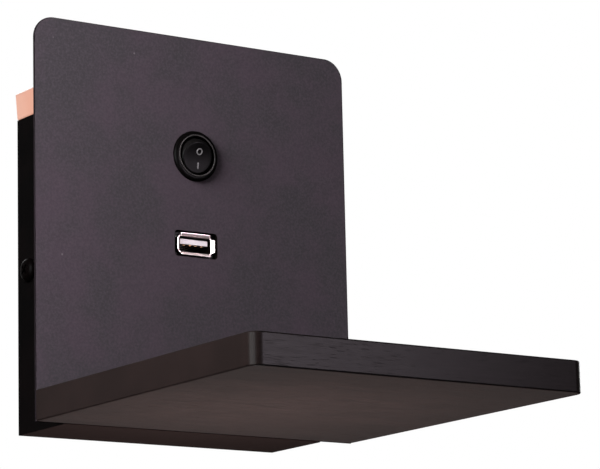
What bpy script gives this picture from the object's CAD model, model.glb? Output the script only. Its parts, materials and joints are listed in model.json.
import json
import math

import bmesh
import bpy
from mathutils import Matrix, Vector


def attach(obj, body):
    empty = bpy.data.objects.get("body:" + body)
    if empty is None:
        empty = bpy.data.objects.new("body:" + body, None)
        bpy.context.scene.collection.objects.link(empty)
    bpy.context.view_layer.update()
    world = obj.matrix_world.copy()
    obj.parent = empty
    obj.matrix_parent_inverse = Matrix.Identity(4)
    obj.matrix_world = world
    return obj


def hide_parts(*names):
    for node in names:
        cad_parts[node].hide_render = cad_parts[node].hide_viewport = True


# Wall lamp with a shelf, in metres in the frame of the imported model: +Y goes into the
# wall, and the plate and the shelf face -Y. The dictionaries give sizes and places in mm
# and angles in degrees, apart from the camera's, the lamps' and the floor's, in metres.
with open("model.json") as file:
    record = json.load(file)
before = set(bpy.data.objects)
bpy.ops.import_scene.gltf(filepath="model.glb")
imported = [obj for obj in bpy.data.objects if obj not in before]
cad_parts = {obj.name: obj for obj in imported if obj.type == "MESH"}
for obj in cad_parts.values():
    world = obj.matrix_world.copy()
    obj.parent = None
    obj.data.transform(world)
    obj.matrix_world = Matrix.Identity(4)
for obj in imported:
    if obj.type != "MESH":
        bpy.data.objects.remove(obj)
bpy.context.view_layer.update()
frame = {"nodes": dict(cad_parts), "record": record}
nodes = frame["nodes"]
slotOf = {p["node"]: p["material_slot"] for p in frame["record"]["subparts"]}
mm = 0.001
weldAt = 1e-7       # in metres, where the CAD meshes' split corners are joined to be read
print("frame loaded:", len(nodes), "nodes")

camera = {"lens": 184.549, "sensor": 36, "shiftX": 0.00295, "shiftY": -0.00258,
          "yaw": 34.606, "pitch": 11.603, "roll": -1.294, "distance": 1.042425,
          "aim": (0, -0.0322, 0.0075), "sideways": 0.0345375, "upwards": 0.005675,
          "clip": (0.01, 20)}


def placeCamera():
    yaw, pitch, roll = (math.radians(camera[k]) for k in ("yaw", "pitch", "roll"))
    ahead = Vector((math.sin(yaw) * math.cos(pitch), math.cos(yaw) * math.cos(pitch),
                    math.sin(pitch)))
    level = Vector((math.cos(yaw), -math.sin(yaw), 0))
    plumb = level.cross(ahead)
    right = level * math.cos(roll) + plumb * math.sin(roll)
    above = plumb * math.cos(roll) - level * math.sin(roll)
    at = (Vector(camera["aim"]) - ahead * camera["distance"]
          + right * camera["sideways"] + above * camera["upwards"])
    data = bpy.data.cameras.new("camera")
    data.lens, data.sensor_width = camera["lens"], camera["sensor"]
    data.shift_x, data.shift_y = camera["shiftX"], camera["shiftY"]
    data.clip_start, data.clip_end = camera["clip"]
    eye = bpy.data.objects.new("camera", data)
    turn = Matrix((right, above, -ahead)).transposed().to_4x4()
    eye.matrix_world = Matrix.Translation(at) @ turn
    bpy.context.scene.collection.objects.link(eye)
    bpy.context.scene.camera = eye


placeCamera()
print("camera placed")


# sizes that the materials follow too
plate = {"width": 125, "height": 136.5, "front": -32.2, "back": -31, "corner": 7.5,
         "edge": 0.4, "base": -55, "switchAt": 39.9, "switchHole": 7.55,
         "cutOutAt": 9.2, "cutOut": (16.5, 8.3), "cutOutCorner": 1.0}
shelf = {"depth": 127, "thick": 10.4, "corner": 4, "edge": 0.55}


def tone(red, green, blue):
    # a colour as it shows on screen, 0 to 255, as the shader wants it
    return tuple((c / 255 / 12.92) if c < 10.3 else ((c / 255 + 0.055) / 1.055) ** 2.4
                 for c in (red, green, blue)) + (1,)


def shade(color, factor):
    return tuple(c * factor for c in color[:3]) + (1,)


def feed(tree, place, value):
    if isinstance(value, Socket):
        tree.links.new(value.output, place)
    else:
        place.default_value = value


def addNode(tree, kind, settings=(), sockets=(), out=0):
    # sets a new node's settings, then feeds its sockets, and gives one of its outputs
    node = tree.nodes.new("ShaderNode" + kind)
    for name, value in dict(settings).items():
        setattr(node, name, value)
    for name, value in dict(sockets).items():
        feed(tree, node.inputs[name], value)
    return Socket(tree, node.outputs[out])


class Socket:
    # wraps a node's output, so that an expression adds its Math nodes
    def __init__(self, tree, output):
        self.tree, self.output = tree, output

    def made(self, operation, *values):
        return addNode(self.tree, "Math", {"operation": operation}, dict(enumerate(values)))

    def __add__(self, other):
        return self.made("ADD", self, other)

    def __sub__(self, other):
        return self.made("SUBTRACT", self, other)

    def __rsub__(self, other):
        return self.made("SUBTRACT", other, self)

    def __mul__(self, other):
        return self.made("MULTIPLY", self, other)

    def __abs__(self):
        return self.made("ABSOLUTE", self)

    __radd__ = __add__
    __rmul__ = __mul__


class Finish:
    # one material; fixed holds the Principled sockets that are the same all over
    def __init__(self, name, fixed):
        self.material = bpy.data.materials.new(name)
        self.material.use_nodes = True
        self.tree = self.material.node_tree
        self.shader = self.tree.nodes["Principled BSDF"]
        for name, value in fixed.items():
            self.shader.inputs[name].default_value = value
        self.place = self.add("TexCoord", out="Object")

    def add(self, kind, settings=(), sockets=(), out=0):
        return addNode(self.tree, kind, settings, sockets, out)

    def along(self, axis, vector=None):
        return self.add("SeparateXYZ", (), {0: vector or self.place}, axis)

    def noise(self, size, seed=0.0, detail=2.0, rough=0.5, stretch=(1, 1, 1)):
        # size is that of one blotch, in mm
        place = self.add("VectorMath", {"operation": "MULTIPLY"}, {0: self.place, 1: stretch})
        return self.add("TexNoise", {"noise_dimensions": "4D"},
                        {"Vector": place, "W": seed, "Scale": 1 / (size * mm),
                         "Detail": detail, "Roughness": rough})

    def between(self, value, low, high, unit=1):
        return self.add("MapRange", {"interpolation_type": "SMOOTHSTEP"},
                        {0: value, 1: low * unit, 2: high * unit})

    def blend(self, factor, first, second):
        return self.add("Mix", {"data_type": "RGBA"}, {0: factor, 6: first, 7: second}, 2)

    def wear(self, color, roughness, height=None, depth=0.05, glow=None):
        # height runs from 0 to 1 and is depth mm deep
        feed(self.tree, self.shader.inputs["Base Color"], color)
        feed(self.tree, self.shader.inputs["Roughness"], roughness)
        if height:
            bump = self.add("Bump", (), {"Strength": 1.0, "Distance": depth * mm,
                                         "Height": height})
            feed(self.tree, self.shader.inputs["Normal"], bump)
        if glow:
            feed(self.tree, self.shader.inputs["Emission Color"], glow)
        return self.material


def powderCoat(name, first, second, rough, gloss, grain, depth, dust=0.0, under=None):
    # dust is for the plate, which has dark cut edges too; under is the colour below
    paint = Finish(name, {"Specular IOR Level": gloss})
    normal = paint.add("TexCoord", out="Normal")
    rise = paint.along("Z", normal)
    drift = paint.noise(26, 1, 3, 0.6)
    fleck = paint.noise(grain, 2, 3, 0.7)
    color = paint.blend(paint.between(drift, 0.38, 0.62), first, second)
    color = paint.blend(paint.between(fleck, 0.35, 0.75) * 0.5, color, shade(first, 1.55))
    if dust:
        specks = paint.add("TexVoronoi", {"feature": "F1"},
                           {"Vector": paint.place, "Scale": 130.0, "Randomness": 1.0})
        chosen = paint.between(paint.noise(5, 7, 1), 0.60, 0.63)
        color = paint.blend((1 - paint.between(specks, 0.03, 0.06)) * chosen * dust, color,
                            tone(150, 146, 148))
        # the cut edges, those that look down, and those of the two holes in the middle
        rim = 1 - paint.between(abs(paint.along("Y", normal)), 0.85, 0.995)
        reach = plate["cutOut"][0] / 2
        holes = 1 - paint.between(abs(paint.along("X")), reach + 0.55, reach + 0.95, mm)
        color = paint.blend(rim * 0.95, color, tone(15, 12, 14))
        color = paint.blend(paint.between(rise, -0.5, -0.9), color, tone(3, 2, 2))
        color = paint.blend(rim * holes, color, tone(10, 8, 8))
    if under:
        below = paint.between(rise, -0.6, -0.95) * (0.8 + drift * 0.4)
        color = paint.blend(below, color, under)
    height = paint.noise(grain, 3, 2, 0.5) * 0.7 + paint.noise(grain * 4, 4, 2, 0.5) * 0.6
    return paint.wear(color, rough + paint.noise(4, 5) * 0.12, height, depth)


def sooted(finish, color, deep):
    # the inside of the socket darkens from one depth in mm to the other
    start, end, soot = deep
    return finish.blend(finish.between(finish.along("Y"), start, end, mm), color, tone(*soot))


def moulded(name, color, rough, gloss, grain, depth, mottle=0.10, deep=None):
    plastic = Finish(name, {"Specular IOR Level": gloss})
    cloud = plastic.between(plastic.noise(6, 1, 3), 0.3, 0.7)
    skin = plastic.noise(grain, 2, 2, 0.6)
    shades = plastic.blend(cloud, shade(color, 1 - mottle), shade(color, 1 + mottle))
    if deep:
        shades = sooted(plastic, shades, deep)
    return plastic.wear(shades, rough + (cloud - 0.5) * 0.1 + skin * 0.06, skin, depth)


# the worn rim starts and ends between these radii, and lies in front of this depth
collar = {"starts": (6.78, 6.94), "ends": (7.22, 7.38), "front": (-33.6, -34.0)}


def switchPlastic(name):
    # black, with the raised rim around the rocker worn to grey
    plastic = Finish(name, {"Specular IOR Level": 0.004})
    offset = plastic.add("VectorMath", {"operation": "MULTIPLY_ADD"},
                         {0: plastic.place, 1: (1, 0, 1), 2: (0, 0, -plate["switchAt"] * mm)})
    out = plastic.add("VectorMath", {"operation": "LENGTH"}, {0: offset}, "Value")
    rim = (plastic.between(out, *collar["starts"], mm)
           * (1 - plastic.between(out, *collar["ends"], mm))
           * plastic.between(plastic.along("Y"), *collar["front"], mm))
    skin = plastic.noise(0.6, 2, 2, 0.6)
    color = plastic.blend(skin, tone(5, 4, 4), tone(8, 7, 7))
    color = plastic.blend(rim * (0.7 + skin * 0.5), color, tone(76, 73, 73))
    return plastic.wear(color, 0.26 + skin * 0.08 + rim * 0.2, skin, 0.004)


def metal(name, color, rough, lines=(1, 1, 1), mottle=0.12, depth=0.01, size=0.25,
          grime=0.25, deep=None):
    # size is that of a streak in mm, and lines is how it is stretched
    bare = Finish(name, {"Metallic": 1.0})
    streak = bare.noise(size, 1, 3, 0.6, lines)
    cloud = bare.between(bare.noise(5, 2, 3), 0.35, 0.7)
    shades = bare.blend(cloud, color, shade(color, 1 - mottle))
    shades = bare.blend(streak * grime, shades, shade(color, 0.55))
    if deep:
        shades = sooted(bare, shades, deep)
    return bare.wear(shades, rough + cloud * 0.10 + streak * 0.12, streak, depth)


def insulation(name, color, stripe=None):
    cover = Finish(name, {"Specular IOR Level": 0.45})
    scuff = cover.between(cover.noise(1.6, 1, 3), 0.35, 0.7)
    shades = cover.blend(scuff, shade(color, 0.88), shade(color, 1.1))
    if stripe:
        # it runs along the wire, where the face looks towards +X
        side = cover.along("X", cover.add("TexCoord", out="Normal"))
        shades = cover.blend(cover.between(side, 0.1, 0.25), shades, stripe)
    return cover.wear(shades, 0.38 + scuff * 0.14, cover.noise(0.5, 3), 0.01)


def stainedWood(name):
    wood = Finish(name, {"Specular IOR Level": 0.006})
    normal = wood.add("TexCoord", out="Normal")
    facing = abs(wood.along("X", normal))
    rises = wood.along("Z", normal)
    flat = wood.between(abs(rises), 0.8, 0.98)
    # the eased long edges, darkest along the front
    half = shelf["thick"] / 2
    rise = abs(wood.along("Z") - (plate["base"] + half) * mm)
    edge = wood.between(rise, half - 0.6, half - 0.3, mm) * (1 - flat) * (1 - facing * 0.8)
    grained = 1 - wood.between(facing, 0.35, 0.75)             # 0 on the end grain
    broad = wood.noise(16, 1, 3, 0.55, (0.10, 1, 1))
    fine = wood.noise(0.7, 2, 4, 0.65, (0.06, 1, 1))
    pores = wood.between(wood.noise(0.45, 3, 2, 0.6, (0.10, 1, 1)), 0.57, 0.70) * grained
    color = wood.blend(wood.between(broad, 0.32, 0.68), tone(23, 18, 17), tone(27, 21, 20))
    color = wood.blend(wood.between(fine, 0.35, 0.75) * grained * 0.5, color, tone(40, 32, 32))
    color = wood.blend(pores * 0.5, color, tone(12, 9, 9))
    color = wood.blend(edge * 0.9, color, tone(6, 4, 4))
    below = wood.blend(wood.between(fine, 0.3, 0.7), tone(25, 18, 17), tone(45, 34, 32))
    color = wood.blend(wood.between(rises, -0.8, -0.98) * 0.5, color, below)
    height = fine * grained * 0.5 - pores * 0.5 + wood.noise(1.5, 5) * 0.2
    rough = 0.27 + wood.noise(3, 4) * 0.05 + fine * grained * 0.10 + pores * 0.08 + edge * 0.4
    return wood.wear(color, rough, height, 0.02)


# from one place to the other: paler towards the plate and at the wall, darker on top
capGlow = {"plate": (-21, -30.5), "wall": (-12, -1), "top": (61.2, 62.2)}


def opalCap(name):
    opal = Finish(name, {"Specular IOR Level": 0.06, "Emission Strength": 0.63})
    front, rise = opal.along("Y"), opal.along("Z")
    cloud = opal.between(opal.noise(9, 1, 2), 0.3, 0.7)
    glow = opal.blend(opal.between(front, *capGlow["plate"], mm), tone(238, 170, 142),
                      tone(251, 198, 174))
    glow = opal.blend(opal.between(front, *capGlow["wall"], mm), glow, tone(241, 184, 160))
    glow = opal.blend(cloud * 0.25, glow, tone(246, 190, 164))
    glow = opal.blend(opal.between(rise, *capGlow["top"], mm) * 0.6, glow, tone(196, 160, 148))
    return opal.wear(shade(tone(240, 186, 168), 0.10), 0.34 + opal.noise(1.2, 2) * 0.12,
                     opal.noise(0.6, 3), 0.008, glow)


def glowingChip(name):
    chip = Finish(name, {"Emission Strength": 1.4})
    lens = chip.between(chip.noise(0.8, 1, 2), 0.3, 0.7)
    color = chip.blend(lens, tone(250, 222, 130), tone(255, 236, 170))
    return chip.wear(color, 0.4 + lens * 0.1, lens, 0.02, color)


def circuitBoard(name, color, copper):
    board = Finish(name, {"Specular IOR Level": 0.5})
    weave = board.add("TexBrick", {"offset": 0.5},
                      {"Vector": board.place, "Scale": 420.0, "Color1": shade(color, 1.0),
                       "Color2": shade(color, 1.12), "Mortar": shade(color, 0.9)})
    tracks = board.between(board.noise(3.2, 2, 1, 0.4, (1, 0.35, 1)), 0.55, 0.58)
    return board.wear(board.blend(tracks, weave, copper), 0.32 + tracks * 0.08, tracks, 0.03)


materials = {
    "graphite_paint": powderCoat("graphitePaint", tone(80, 71, 79), tone(71, 68, 72), rough=0.6,
                                 gloss=0.0, grain=0.8, depth=0.05, dust=0.4),
    "black_paint": powderCoat("blackPaint", tone(5, 4, 4), tone(3, 3, 3), rough=0.5,
                              gloss=0.0008, grain=0.45, depth=0.03, under=tone(28, 21, 20)),
    "black_screw": moulded("blackScrew", tone(3, 2, 2), rough=0.34, gloss=0.002, grain=0.25,
                           depth=0.006),
    "stained_wood": stainedWood("stainedWood"),
    "opal_cap": opalCap("opalCap"),
    "zinc_steel": metal("zincSteel", tone(205, 208, 214), rough=0.26, mottle=0.14, depth=0.008,
                        size=0.5),
    "bush_rubber": moulded("bushRubber", tone(36, 35, 35), rough=0.78, gloss=0.25, grain=0.5,
                           depth=0.03),
    "bare_aluminium": metal("bareAluminium", tone(214, 216, 219), rough=0.32,
                            lines=(0.04, 1, 1), mottle=0.06, size=0.3),
    "white_board": moulded("whiteBoard", tone(232, 232, 228), rough=0.35, gloss=0.45,
                           grain=0.8, depth=0.01, mottle=0.03),
    "led_yellow": glowingChip("ledYellow"),
    "driver_case": moulded("driverCase", tone(222, 222, 217), rough=0.5, gloss=0.4,
                           grain=0.35, depth=0.02, mottle=0.04),
    "terminal_plastic": moulded("terminalPlastic", tone(230, 227, 215), rough=0.38, gloss=0.45,
                                grain=0.6, depth=0.01, mottle=0.05),
    "bare_brass": metal("bareBrass", tone(214, 180, 110), rough=0.28, mottle=0.18, size=0.4),
    "switch_black": switchPlastic("switchBlack"),
    "rocker_black": moulded("rockerBlack", tone(14, 13, 13), rough=0.36, gloss=0.006,
                            grain=0.3, depth=0.008),
    "mark_print": moulded("markPrint", tone(120, 119, 119), rough=0.5, gloss=0.1, grain=0.2,
                          depth=0.01, mottle=0.12),
    "spring_steel": metal("springSteel", tone(200, 202, 206), rough=0.2, mottle=0.1,
                          depth=0.004),
    "plunger_nylon": moulded("plungerNylon", tone(228, 226, 215), rough=0.45, gloss=0.4,
                             grain=0.4, depth=0.01, mottle=0.04),
    "sleeve_vinyl": moulded("sleeveVinyl", tone(206, 210, 208), rough=0.3, gloss=0.5,
                            grain=0.8, depth=0.01, mottle=0.06),
    "plated_shell": metal("platedShell", tone(196, 182, 180), rough=0.24, lines=(0.3, 1, 1),
                          mottle=0.14, depth=0.006, size=0.4, grime=0.35,
                          deep=(-31.85, -31.15, (26, 19, 16))),
    "tongue_white": moulded("tongueWhite", tone(180, 173, 170), rough=0.4, gloss=0.3,
                            grain=0.5, depth=0.008, mottle=0.08,
                            deep=(-30.55, -30.2, (34, 24, 19))),
    "gold_contact": metal("goldContact", tone(226, 186, 104), rough=0.22, lines=(1, 0.2, 1),
                          mottle=0.1, depth=0.004, deep=(-31.6, -30.9, (64, 48, 32))),
    "green_board": circuitBoard("greenBoard", tone(26, 92, 56), tone(44, 124, 80)),
    "coil_tape": moulded("coilTape", tone(226, 196, 84), rough=0.28, gloss=0.5, grain=1.2,
                         depth=0.01, mottle=0.08),
    "capacitor_sleeve": moulded("capacitorSleeve", tone(40, 44, 84), rough=0.26, gloss=0.5,
                                grain=0.9, depth=0.008),
    "holder_black": moulded("holderBlack", tone(20, 20, 20), rough=0.5, gloss=0.04,
                            grain=0.35, depth=0.02),
    "wire_brown": insulation("wireBrown", tone(104, 62, 36)),
    "wire_black": insulation("wireBlack", tone(30, 30, 31)),
    "wire_blue": insulation("wireBlue", tone(44, 86, 168)),
    "wire_green_yellow": insulation("wireGreenYellow", tone(62, 138, 54), tone(226, 204, 50)),
    "wire_red": insulation("wireRed", tone(168, 36, 30)),
}

for name, piece in nodes.items():
    piece.data.materials.clear()
    piece.data.materials.append(materials[slotOf[name]])
print("materials made:", len(materials))


def meshFrom(work, name):
    # turns a bmesh into a new mesh, and frees it
    mesh = bpy.data.meshes.new(name)
    work.to_mesh(mesh)
    work.free()
    return mesh


def smoothed(piece, angle=32):
    mesh = piece.data
    work = bmesh.new()
    work.from_mesh(mesh)
    for face in work.faces:
        face.smooth = True
    for edge in work.edges:
        edge.smooth = len(edge.link_faces) == 2 and edge.calc_face_angle(0) < math.radians(angle)
    work.to_mesh(mesh)
    work.free()


def settle(mesh, name, stands, body="lamp", angle=32):
    # makes a piece of a mesh, in the place of the CAD node that it stands for
    piece = bpy.data.objects.new(name, mesh)
    bpy.context.scene.collection.objects.link(piece)
    mesh.materials.clear()
    mesh.materials.append(materials[slotOf[stands]])
    smoothed(piece, angle)
    level = piece.modifiers.new("level", "WEIGHTED_NORMAL")
    level.keep_sharp = True
    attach(piece, body)
    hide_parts(stands)


def meshOf(data, tools=()):
    # the mesh of a curve, or of a mesh after its tools have cut it
    carrier = bpy.data.objects.new("carrier", data)
    helpers = [bpy.data.objects.new("tool", tool) for tool in tools]
    for thing in [carrier] + helpers:
        bpy.context.scene.collection.objects.link(thing)
    for helper in helpers:
        cut = carrier.modifiers.new("cut", "BOOLEAN")
        cut.operation, cut.solver, cut.object = "DIFFERENCE", "EXACT", helper
    mesh = bpy.data.meshes.new_from_object(
        carrier.evaluated_get(bpy.context.evaluated_depsgraph_get()))
    for thing in [carrier] + helpers:
        bpy.data.objects.remove(thing)
    if tools:
        # the cuts leave slivers
        sliver = 0.003 * mm
        work = bmesh.new()
        work.from_mesh(mesh)
        bmesh.ops.remove_doubles(work, verts=work.verts, dist=sliver)
        bmesh.ops.dissolve_degenerate(work, edges=work.edges, dist=sliver)
        work.to_mesh(mesh)
        work.free()
    return mesh


def joined(meshes, name):
    whole = bmesh.new()
    for mesh in meshes:
        whole.from_mesh(mesh)
    return meshFrom(whole, name)


def rings(loops, closed=False):
    # skins a row of equal loops of points, in mm; the ends are capped, or meet if closed
    work = bmesh.new()
    verts = [[work.verts.new(Vector(point) * mm) for point in loop] for loop in loops]
    pairs = list(zip(verts, verts[1:])) + ([(verts[-1], verts[0])] if closed else [])
    for first, second in pairs:
        for k in range(len(first)):
            n = (k + 1) % len(first)
            work.faces.new((first[k], first[n], second[n], second[k]))
    if not closed:
        work.faces.new(reversed(verts[0]))
        work.faces.new(verts[-1])
    bmesh.ops.recalc_face_normals(work, faces=work.faces)
    return meshFrom(work, "rings")


def turned(profile, steps=64):
    # profile of (radius, height) in mm, about the local Z axis; a radius of 0 is a point
    work = bmesh.new()
    loops = []
    for radius, height in profile:
        if radius == 0:
            loops.append([work.verts.new((0, 0, height * mm))] * steps)
        else:
            loops.append([work.verts.new((radius * mm * math.cos(2 * math.pi * k / steps),
                                          radius * mm * math.sin(2 * math.pi * k / steps),
                                          height * mm)) for k in range(steps)])
    for lower, upper in zip(loops, loops[1:]):
        for k in range(steps):
            n = (k + 1) % steps
            corners = list(dict.fromkeys((lower[k], lower[n], upper[n], upper[k])))
            if len(corners) > 2:
                work.faces.new(corners)
    bmesh.ops.recalc_face_normals(work, faces=work.faces)
    return meshFrom(work, "turned")


def block(low, high, edge=0.2, segments=2):
    # a box between two corners in mm, with eased edges
    work = bmesh.new()
    bmesh.ops.create_cube(work, size=1)
    low, high = Vector(low), Vector(high)
    for v in work.verts:
        v.co = Vector((low[i] + high[i]) / 2 + v.co[i] * (high[i] - low[i])
                      for i in range(3)) * mm
    bmesh.ops.bevel(work, geom=work.edges[:], offset=edge * mm, segments=segments,
                    affect="EDGES", profile=0.5)
    return meshFrom(work, "block")


def placed(mesh, at, toward=(0, 0, 1), spin=0):
    # stands a mesh made about local Z at a point in mm, with that Z along toward
    turn = Vector(toward).to_track_quat("Z", "Y").to_matrix().to_4x4()
    mesh = mesh.copy()
    mesh.transform(Matrix.Translation(Vector(at) * mm) @ turn
                   @ Matrix.Rotation(math.radians(spin), 4, "Z"))
    return mesh


def solidsOf(name):
    # the lowest and highest corners of a CAD node's separate solids, in mm
    work = bmesh.new()
    work.from_mesh(nodes[name].data)
    bmesh.ops.remove_doubles(work, verts=work.verts, dist=weldAt)
    left, boxes = set(work.verts), []
    while left:
        group, front = set(), {left.pop()}
        while front:
            group |= front
            front = {e.other_vert(v) for v in front for e in v.link_edges} - group
        left -= group
        boxes.append([Vector(pick(v.co[i] for v in group) / mm for i in range(3))
                      for pick in (min, max)])
    work.free()
    return sorted(boxes, key=lambda box: tuple(box[0]))


def footOf(low, high, axis):
    # the middle of a box's lower face across an axis
    at = (low + high) / 2
    at[axis] = low[axis]
    return at


def arc(x, y, radius, start, end, steps):
    return [(x + radius * math.cos(math.radians(start + (end - start) * i / steps)),
             y + radius * math.sin(math.radians(start + (end - start) * i / steps)))
            for i in range(steps + 1)]


def roundedBox(x, y, radius, steps, middle=0):
    # the outline of a rectangle of half sizes x and y with round corners, counterclockwise
    return [point for k, (i, j) in enumerate(((1, 1), (-1, 1), (-1, -1), (1, -1)))
            for point in arc(i * (x - radius), middle + j * (y - radius), radius,
                             90 * k, 90 * k + 90, steps)]


def bend(start, corner, end, t):
    # the point at t, from 0 to 1, of a curve that leaves and arrives towards the corner
    return tuple((1 - t) ** 2 * start[i] + 2 * t * (1 - t) * corner[i] + t * t * end[i]
                 for i in (0, 1))


def flatSheet(name, outlines, low, high, edge, turn):
    # outlines in mm, the first outside and the rest its holes, filled between two heights
    # with edges rounded by edge; turn lays it down, and its local Z is the thickness
    curve = bpy.data.curves.new(name, "CURVE")
    curve.dimensions, curve.fill_mode = "2D", "BOTH"
    curve.extrude = ((high - low) / 2 - edge) * mm
    curve.bevel_depth, curve.bevel_resolution, curve.offset = edge * mm, 2, -edge * mm
    for outline in outlines:
        line = curve.splines.new("POLY")
        line.use_cyclic_u = True
        line.points.add(len(outline) - 1)
        for point, (x, y) in zip(line.points, outline):
            point.co = (x * mm, y * mm, 0, 1)
    mesh = meshOf(curve)
    mesh.transform(turn @ Matrix.Translation((0, 0, (low + high) / 2 * mm)))
    if turn.determinant() < 0:
        mesh.flip_normals()
    return mesh


# lays a drawing's x and y on X and Z, with its thickness along +Y
upright = Matrix(((1, 0, 0, 0), (0, 0, 1, 0), (0, 1, 0, 0), (0, 0, 0, 1)))


def frontPlate():
    half, top, r = plate["width"] / 2, plate["base"] + plate["height"], plate["corner"]
    outline = ([(-half, plate["base"]), (half, plate["base"])]
               + arc(half - r, top - r, r, 0, 90, 24) + arc(r - half, top - r, r, 90, 180, 24))
    wide, tall = plate["cutOut"]
    cutOut = roundedBox(wide / 2, tall / 2, plate["cutOutCorner"], 8, plate["cutOutAt"])
    hole = arc(0, plate["switchAt"], plate["switchHole"], 0, 355, 71)
    mesh = flatSheet("frontPlate", [outline, cutOut, hole], plate["front"], plate["back"],
                     plate["edge"], upright)
    settle(mesh, "frontPlate", "front_plate")


def shelfBoard():
    half, front, r = plate["width"] / 2, plate["front"] - shelf["depth"], shelf["corner"]
    outline = ([(half, plate["front"]), (-half, plate["front"])]
               + arc(r - half, front + r, r, 180, 270, 24)
               + arc(half - r, front + r, r, 270, 360, 24))
    mesh = flatSheet("shelfBoard", [outline], plate["base"], plate["base"] + shelf["thick"],
                     shelf["edge"], Matrix.Identity(4))
    settle(mesh, "shelfBoard", "shelf_board")


frontPlate()
shelfBoard()
print("plate and shelf made")


wires = {"live_wire": 0.93, "switched_wire": 0.93, "neutral_wire": 0.93, "earth_wire": 0.93,
         "led_plus_wire": 0.78, "led_minus_wire": 0.78}
spring = {"radius": 0.15, "sides": 3, "smooth": 3}
rimAngle = 72       # sharper than any edge along a wire's own rings


def ringCentres(name):
    # the middle of each ring of a CAD wire's mesh, from one end to the other
    work = bmesh.new()
    work.from_mesh(nodes[name].data)
    bmesh.ops.remove_doubles(work, verts=work.verts, dist=weldAt)
    rim = [e for e in work.edges if len(e.link_faces) == 2
           and e.calc_face_angle(0) > math.radians(rimAngle)]
    ring = {rim[0].verts[0]}
    while True:
        more = {v for e in rim for v in e.verts if set(e.verts) & ring} - ring
        if not more:
            break
        ring |= more
    centres, seen = [], set()
    while ring:
        centres.append(sum((v.co for v in ring), Vector()) / len(ring))
        seen |= ring
        ring = {e.other_vert(v) for v in ring for e in v.link_edges} - seen
    work.free()
    return centres


def tube(points, radius, sides=4, smooth=4):
    curve = bpy.data.curves.new("tube", "CURVE")
    curve.dimensions, curve.resolution_u = "3D", smooth
    curve.bevel_depth, curve.bevel_resolution = radius * mm, sides
    curve.use_fill_caps = True
    line = curve.splines.new("BEZIER")
    line.bezier_points.add(len(points) - 1)
    for point, at in zip(line.bezier_points, points):
        point.co = at
        point.handle_left_type = point.handle_right_type = "AUTO"
    return meshOf(curve)


def wiring():
    for name, radius in wires.items():
        settle(tube(ringCentres(name), radius), name.replace("_", "-") + "-cover", name)
    settle(tube(ringCentres("switch_spring"), **spring), "plungerSpring", "switch_spring",
           "rocker")


wiring()
print("wires made")


fasteners = {
    "side_screws": {"toward": (1, 0, 0), "mirrored": True, "shank": 2, "head": 4,
                    "rise": 2.3, "pitch": 0.7},
    "shelf_screws": {"toward": (0, 1, 0), "shank": 2, "head": 4, "rise": 2.6, "pitch": 1.2},
    "led_board_screws": {"toward": (0, 0, 1), "shank": 1.5, "head": 2.75, "rise": 1.9,
                         "pitch": 0.5},
    "driver_screws": {"toward": (0, 1, 0), "shank": 1.45, "head": 2.75, "rise": 1.9,
                      "pitch": 0.5},
    "block_screws": {"toward": (0, 1, 0), "shank": 1.15, "head": 2.2, "rise": 1.6,
                     "pitch": 0.5},
    "charger_screws": {"toward": (0, 0, 1), "shank": 1.2, "head": 2.2, "rise": 1.5,
                       "pitch": 0.5},
    "earth_screw": {"toward": (0, 1, 0), "shank": 1.95, "head": 3.5, "rise": 2.3,
                    "pitch": 0.7, "washer": {"radius": 4.4, "hole": 2.0, "thick": 0.8}},
    "terminal_screws": {"toward": (0, 1, 0), "shank": 1.1, "head": 1.95, "rise": 2.4,
                        "pitch": 0.5, "slotted": True},
}
# a cross head's outline, its blades' length and width, and their depth, as shares of the
# head's radius and rise; a slotted head's outline too, but its slot's width and depth in mm
crossHead = {"dome": [(0.97, 0), (1, 0.08), (1, 0.3), (0.95, 0.52), (0.84, 0.74),
                      (0.66, 0.89), (0.4, 0.975), (0, 1)],
             "turns": (45, 135), "blade": (1.15, 0.24), "sunk": 0.68}
slotHead = {"dome": [(1, 0), (1, 0.9), (0.93, 1), (0, 1)], "turns": (0,), "length": 2.2,
            "width": 0.5, "sunk": 0.7}
nut = {"radius": 3.1, "bore": 1.52, "face": 2.73, "slope": 0.6, "steps": 72}
stud = {"radius": 1.5, "tip": 1.1, "pitch": 0.5}


def wedge(length, width, top, bottom):
    # a driver's blade, narrower at its tip
    loops = []
    for z, k in ((bottom, 0.55), (top, 1.0)):
        x, y = length / 2 * k, width / 2 * k
        loops.append([(x, y, z), (-x, y, z), (-x, -y, z), (x, -y, z)])
    return rings(loops)


def thread(radius, low, high, pitch):
    count, groove = int((high - low) / pitch * 2), 0.14 * pitch + 0.04
    return [(radius - (groove if k % 2 else 0), low + (high - low) * k / count)
            for k in range(count + 1)]


def screw(shank, head, rise, long, pitch, slotted=False):
    # its shank is long below the origin, and its head rises above it
    style = slotHead if slotted else crossHead
    profile = ([(0, -long), (shank * 0.72, -long)] + thread(shank, 0.4 - long, -0.25, pitch)
               + [(shank, 0)] + [(head * r, rise * h) for r, h in style["dome"]])
    if slotted:
        length, width, sunk = head * style["length"], style["width"], style["sunk"]
    else:
        length, width = (head * share for share in style["blade"])
        sunk = rise * style["sunk"]
    tools = [placed(wedge(length, width, rise + 0.3, rise - sunk), (0, 0, 0), spin=turn)
             for turn in style["turns"]]
    return meshOf(turned(profile, 32), tools)


def washerMesh(radius, hole, thick):
    outline = [(hole, -thick), (radius, -thick), (radius, -0.1), (radius - 0.1, 0), (hole, 0)]
    return turned(outline + outline[:1], 56)


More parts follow.
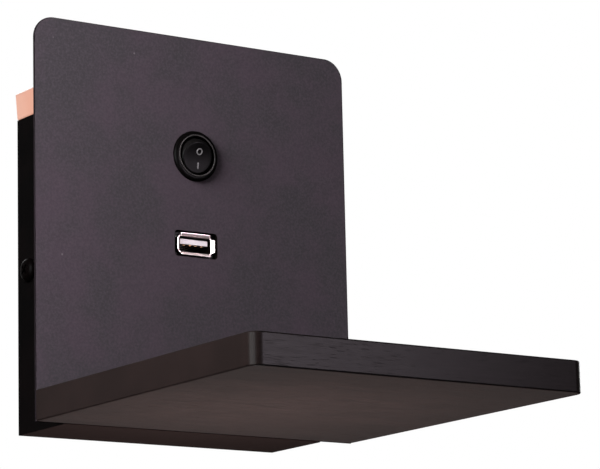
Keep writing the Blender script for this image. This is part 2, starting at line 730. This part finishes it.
def fasten():
    for name, size in fasteners.items():
        washer, meshes = size.get("washer"), []
        for low, high in solidsOf(name):
            toward = Vector(size["toward"])
            if "mirrored" in size and low.x < 0:
                toward = -toward
            axis = max(range(3), key=lambda i: abs(toward[i]))
            at, whole = (low + high) / 2, high[axis] - low[axis]
            if washer and whole < 2 * washer["thick"]:
                continue        # the washer's own solid: it is made with its screw
            at[axis] += toward[axis] * (whole / 2 - size["rise"])
            meshes.append(placed(screw(size["shank"], size["head"], size["rise"],
                                       whole - size["rise"], size["pitch"],
                                       "slotted" in size), at, toward))
            if washer:
                meshes.append(placed(washerMesh(**washer), at, toward))
        settle(joined(meshes, name), name.replace("_", "-"), name)


def nutMesh(tall, lie):
    # a hexagon whose corners are turned off, with lie as the turn of its first corner
    section = [[] for _ in range(6)]
    for k in range(nut["steps"]):
        turn = 360 * k / nut["steps"]
        reach = nut["radius"] * math.cos(math.radians(30)) / math.cos(
            math.radians((turn - lie) % 60 - 30))
        face = min(reach - 0.02, nut["face"])
        drop = (reach - face) * nut["slope"]
        for loop, (r, z) in zip(section, ((nut["bore"], 0), (face, 0), (reach, drop),
                                          (reach, tall - drop), (face, tall),
                                          (nut["bore"], tall))):
            loop.append((r * math.cos(math.radians(turn)), r * math.sin(math.radians(turn)), z))
    return rings(section, closed=True)


def nutsAndStuds():
    nuts, studs = [], []
    for low, high in solidsOf("plate_nuts"):
        lie = 0 if high.x - low.x > high.z - low.z else 30
        nuts.append(placed(nutMesh(high.y - low.y, lie), footOf(low, high, 1), (0, 1, 0)))
    for low, high in solidsOf("plate_studs"):
        tall, r = high.y - low.y, stud["radius"]
        profile = ([(0, 0), (r, 0)] + thread(r, 0.6, tall - 0.35, stud["pitch"])
                   + [(stud["tip"], tall), (0, tall)])
        studs.append(placed(turned(profile, 32), footOf(low, high, 1), (0, 1, 0)))
    settle(joined(nuts, "nuts"), "plateNuts", "plate_nuts")
    settle(joined(studs, "studs"), "plateStuds", "plate_studs")


fasten()
nutsAndStuds()
print("fasteners made")


rocker = {"pivot": (0, -31.2, plate["switchAt"]), "ball": 6.45, "hollow": 25, "face": 2.9,
          "back": 1.2, "lip": 0.6, "lean": 14, "rim": 0.5, "steps": 96,
          "pin": (0.8, 6, 7.3), "stem": (2.2, 0.9, 4.6), "bore": (1.35, 2.2, 6)}
marks = {"from": 2.42, "across": 0.38, "down": 0.38, "ring": 1.18, "line": 0.4, "tall": 2.3,
         "proud": 0.08, "sunk": 0.05, "edge": 0.03}


def onRocker(mesh):
    # from the rocker's own frame, with its face towards -Y, to its place in the photo
    mesh.transform(Matrix.Translation(Vector(rocker["pivot"]) * mm)
                   @ Matrix.Rotation(math.radians(rocker["lean"]), 4, "X"))
    return mesh


def faceAt(z):
    return math.sqrt(rocker["hollow"] ** 2 - z * z) - rocker["hollow"] - rocker["face"]


def rockerColumn(cos, sin):
    # from the middle of the hollow face over its rim and down the ball, at one turn
    ball, fifths = rocker["ball"], [k / 5 for k in range(1, 6)]
    reach = ball
    for _ in range(12):
        # closes in on where the face would meet the ball
        reach = math.sqrt(ball ** 2 - faceAt(reach * sin) ** 2)
    start = reach - rocker["rim"]
    column = [(start * t, faceAt(start * t * sin)) for t in (0.12, 0.3, 0.5, 0.7, 0.85, 1)]
    corner = (reach, faceAt(reach * sin))
    lean = math.asin(-corner[1] / ball) - rocker["rim"] / ball
    end = (ball * math.cos(lean), -ball * math.sin(lean))
    column += [bend(column[5], corner, end, t) for t in fifths]
    back = -math.asin(rocker["back"] / ball)
    for t in fifths:
        turn = lean + (back - lean) * t
        column.append((ball * math.cos(turn), -ball * math.sin(turn)))
    column.append((ball * math.cos(back) - rocker["lip"], rocker["back"]))
    return [(r * cos, y, r * sin) for r, y in column]


def rockerShell():
    steps = rocker["steps"]
    columns = [rockerColumn(math.cos(2 * math.pi * k / steps), math.sin(2 * math.pi * k / steps))
               for k in range(steps)]
    loops = [[column[i] for column in columns] for i in range(len(columns[0]))]
    r, start, end = rocker["pin"]
    pin = turned([(0, start), (r, start), (r, end - 0.15), (r - 0.15, end), (0, end)], 24)
    pins = [placed(pin, (0, 0, 0), (side, 0, 0)) for side in (-1, 1)]
    r, start, end = rocker["bore"]
    bore = placed(turned([(0, start), (r, start), (r, end), (0, end)], 32), (0, 0, 0), (0, 1, 0))
    half, start, end = rocker["stem"]
    stem = meshOf(block((-half, start, -half), (half, end, half)), [bore])
    mesh = joined([rings(loops), stem] + pins, "rockerShell")
    settle(onRocker(mesh), "rockerShell", "switch_rocker", "rocker", 40)


def switchMarks():
    up, down, line, outer = marks["from"], marks["down"], marks["line"], marks["ring"]
    w, h = line / 2, marks["tall"] / 2
    ring = [arc(0, 0, radius, 0, 350, 35) for radius in (outer, outer - line)]
    bar = [arc(0, h - w, w, 0, 180, 8) + arc(0, w - h, w, 180, 360, 8)]
    meshes = []
    for outlines, z in ((ring, up - down), (bar, -up - down)):
        turn = (Matrix.Translation((marks["across"] * mm, faceAt(z) * mm, z * mm))
                @ Matrix.Rotation(math.asin(z / rocker["hollow"]), 4, "X") @ upright)
        meshes.append(flatSheet("mark", outlines, -marks["proud"], marks["sunk"],
                                marks["edge"], turn))
    settle(onRocker(joined(meshes, "marks")), "switchMarks", "switch_marks", "rocker")


rockerShell()
switchMarks()
print("switch made")


shell = {"wide": 13.2, "tall": 5.9, "sheet": 0.35, "tube": (0.8, 14.6), "corner": 0.6,
         "lipEase": 0.35, "lipRoot": 0.95, "lipShort": (1.4, 1.2)}
# a lip's section: how far out, and how deep behind the plate's front
lipSection = {"start": 1.3, "inner": ((-0.34, 0.95), (-0.28, 0.36), (0.62, -0.16)),
              "tip": [(0.76, -0.19), (0.845, -0.08)],
              "outer": ((-0.02, 0.95), (0.02, 0.58), (0.82, 0.05))}
capacitor = [(0, 0), (3.9, 0), (4.13, 0.2), (4.13, 0.8), (3.86, 1.1), (3.98, 1.5),
             (3.98, 9.1), (3.8, 9.5), (3.35, 9.6), (3.15, 9.45), (0, 9.45)]
bobbin = {"inset": (1.3, 1.1, 1.4), "flange": 1.5}


def lipMesh(edge, length):
    # along X, at its edge above the middle; its ends shrink a little
    root, ease, steps = shell["lipRoot"], shell["lipEase"], 24
    inner, outer = ([(side[0][0], lipSection["start"])] + [bend(*side, k / 8) for k in range(9)]
                    for side in (lipSection["inner"], lipSection["outer"]))
    loops = []
    for k in range(steps + 1):
        along = math.sin(math.pi * (k / steps - 0.5)) * length / 2
        past = max(0, abs(along) - (length / 2 - ease)) / ease
        keep = 0.5 + 0.5 * math.sqrt(max(0, 1 - past * past))
        loops.append([(along, root + (y - root) * (keep if y < root else 1),
                       edge + (u * keep if y < root and u > 0 else u))
                      for u, y in inner + lipSection["tip"] + outer[::-1]])
    return rings(loops)


def socketShell():
    w, h, t, c = shell["wide"] / 2, shell["tall"] / 2, shell["sheet"], shell["corner"]
    y0, y1 = shell["tube"]
    tubeLoops = [[(x, y, z) for x, z in roundedBox(w - k, h - k, c - k / 2, 5)]
                 for y, k in ((y0, 0.04), (y0 + 0.1, 0), (y1, 0), (y1, t), (y0 + 0.1, t),
                              (y0, t - 0.04))]
    meshes = [rings(tubeLoops, closed=True)]
    shortX, shortZ = shell["lipShort"]
    for turn in (0, 180, 90, 270):
        lip = lipMesh(w, 2 * h - shortZ) if turn % 180 else lipMesh(h, 2 * w - shortX)
        lip.transform(Matrix.Rotation(math.radians(turn), 4, "Y"))
        meshes.append(lip)
    mesh = joined(meshes, "socketShell")
    mesh.transform(Matrix.Translation((0, plate["front"] * mm, plate["cutOutAt"] * mm)))
    settle(mesh, "socketShell", "socket_shell", angle=50)


def chargerPieces():
    low, high = solidsOf("charger_capacitor")[0]
    settle(placed(turned(capacitor, 48), footOf(low, high, 2)), "capacitorCan",
           "charger_capacitor")
    low, high = solidsOf("charger_transformer")[0]
    inset = Vector(bobbin["inset"])
    core = block(low + inset, high - inset, 1.1, 4)
    foot = block(low, (high.x, high.y, low.z + bobbin["flange"]), 0.3)
    head = block((low.x, low.y, high.z - bobbin["flange"]), high, 0.3)
    settle(joined([core, foot, head], "transformer"), "transformerBobbin", "charger_transformer")


socketShell()
chargerPieces()
print("socket and charger made")

# how far the edges of each CAD piece are eased
eased = {"light_cap": 0.35, "back_box": 0.18, "wall_bracket": 0.2, "led_driver": 0.5,
         "terminal_block": 0.25, "charger_holder": 0.2, "socket_tongue": 0.12,
         "spade_sleeves": 0.25, "led_carrier": 0.12, "switch_plunger": 0.08}
easing = {"smooth": 40, "weld": 1e-6, "flat": 0.4, "sharp": 35}


def softened(name, width):
    # eases the edges of a CAD node with modifiers, without touching its mesh
    piece = nodes[name]
    smoothed(piece, easing["smooth"])
    weld = piece.modifiers.new("weld", "WELD")
    weld.merge_threshold = easing["weld"]
    flat = piece.modifiers.new("flat", "DECIMATE")
    flat.decimate_type, flat.angle_limit = "DISSOLVE", math.radians(easing["flat"])
    ease = piece.modifiers.new("ease", "BEVEL")
    ease.width, ease.segments = width * mm, 3 if width > 0.3 else 2
    ease.limit_method, ease.angle_limit = "ANGLE", math.radians(easing["sharp"])
    ease.harden_normals = True


for name, width in eased.items():
    softened(name, width)
for name in nodes:
    if name not in eased and not nodes[name].hide_render:
        smoothed(nodes[name])
print("edges eased")


white = (1, 1, 1)
lamps = [
    {"name": "leftLight", "at": (-0.40, -0.13, 0.16), "size": 0.28, "power": 5.1,
     "color": (1, 0.96, 0.98)},
    {"name": "lowLight", "at": (-0.015, -0.09, -0.147), "size": 0.05, "power": 0.30,
     "color": (1, 0.96, 0.96)},
    {"name": "backLight", "at": (0.25, 0.95, 0.65), "size": 0.6, "power": 12, "color": white},
    {"name": "rightLight", "at": (0.85, 0.25, 0.25), "size": 0.5, "power": 7, "color": white},
    # softboxes that show only in the gloss: on the shelf's left corner, and along its front
    {"name": "cornerGloss", "at": (-0.85, -0.42, 0.10), "size": 0.8, "power": 112,
     "color": (0.88, 0.98, 1), "glossOnly": True},
    {"name": "frontGloss", "at": (0.19, -0.57, 0.04), "size": 0.2, "power": 17,
     "color": (1, 0.88, 1), "glossOnly": True},
]
studio = {"aim": (0, -0.06, 0), "ambient": (0.19, 0.19, 0.19, 1), "floorAt": -1.2,
          "floorSize": 30, "floorGlow": 0.38, "farFrom": (7, 14.5), "farGlow": 0.7,
          "nearUntil": (1.5, 3)}


def seenBy(tree, first, *others):
    # 1 for the rays of these kinds, and 0 for the rest
    seen = addNode(tree, "LightPath", out=first)
    for kind in others:
        seen = seen.made("MAXIMUM", seen, addNode(tree, "LightPath", out=kind))
    return seen


def floorMaterial():
    # the camera sees a glow on it that grows far away, and reflections see it near the lamp
    pale = Finish("paleFloor", {"Specular IOR Level": 0.2, "Emission Strength": 1.0})
    cloud = pale.noise(300, 1, 3)
    reach = pale.add("VectorMath", {"operation": "LENGTH"}, {0: pale.place}, "Value")
    far, near = (pale.between(reach, *studio[k]) for k in ("farFrom", "nearUntil"))
    shown = (seenBy(pale.tree, "Is Camera Ray") * (far * studio["farGlow"] + studio["floorGlow"])
             + seenBy(pale.tree, "Is Glossy Ray", "Is Transmission Ray")
             * (1 - near) * studio["floorGlow"])
    glow = pale.blend(shown, (0, 0, 0, 1), tone(250, 246, 244))
    return pale.wear(pale.blend(cloud, tone(238, 234, 232), tone(244, 241, 239)),
                     0.8 + cloud * 0.1, glow=glow)


def layFloor():
    half, z = studio["floorSize"] / 2, studio["floorAt"]
    mesh = bpy.data.meshes.new("floor")
    mesh.from_pydata([(-half, -half, z), (half, -half, z), (half, half, z), (-half, half, z)],
                     [], [(0, 1, 2, 3)])
    floor = bpy.data.objects.new("floor", mesh)
    mesh.materials.append(floorMaterial())
    bpy.context.scene.collection.objects.link(floor)


def hangLamps():
    for lamp in lamps:
        light = bpy.data.lights.new(lamp["name"], "AREA")
        light.shape, light.size, light.energy = "DISK", lamp["size"], lamp["power"]
        light.color = lamp["color"]
        place = bpy.data.objects.new(lamp["name"], light)
        place.location = lamp["at"]
        aim = Vector(studio["aim"]) - Vector(lamp["at"])
        place.rotation_euler = aim.to_track_quat("-Z", "Y").to_euler()
        place.visible_camera = False
        place.visible_diffuse = not lamp.get("glossOnly")
        bpy.context.scene.collection.objects.link(place)


def surround():
    # white where it is seen or reflected, and dim as a light
    world = bpy.data.worlds.new("studio")
    bpy.context.scene.world = world
    world.use_nodes = True
    tree = world.node_tree
    dim = tree.nodes["Background"]
    dim.inputs["Color"].default_value = studio["ambient"]
    seen = seenBy(tree, "Is Camera Ray", "Is Glossy Ray", "Is Transmission Ray")
    pale = addNode(tree, "Background", (), {"Color": (*white, 1)})
    mix = addNode(tree, "MixShader", (), {0: seen, 1: Socket(tree, dim.outputs[0]), 2: pale})
    feed(tree, tree.nodes["World Output"].inputs["Surface"], mix)
    bpy.context.scene.view_settings.view_transform = "Standard"


layFloor()
hangLamps()
surround()
print("studio set")
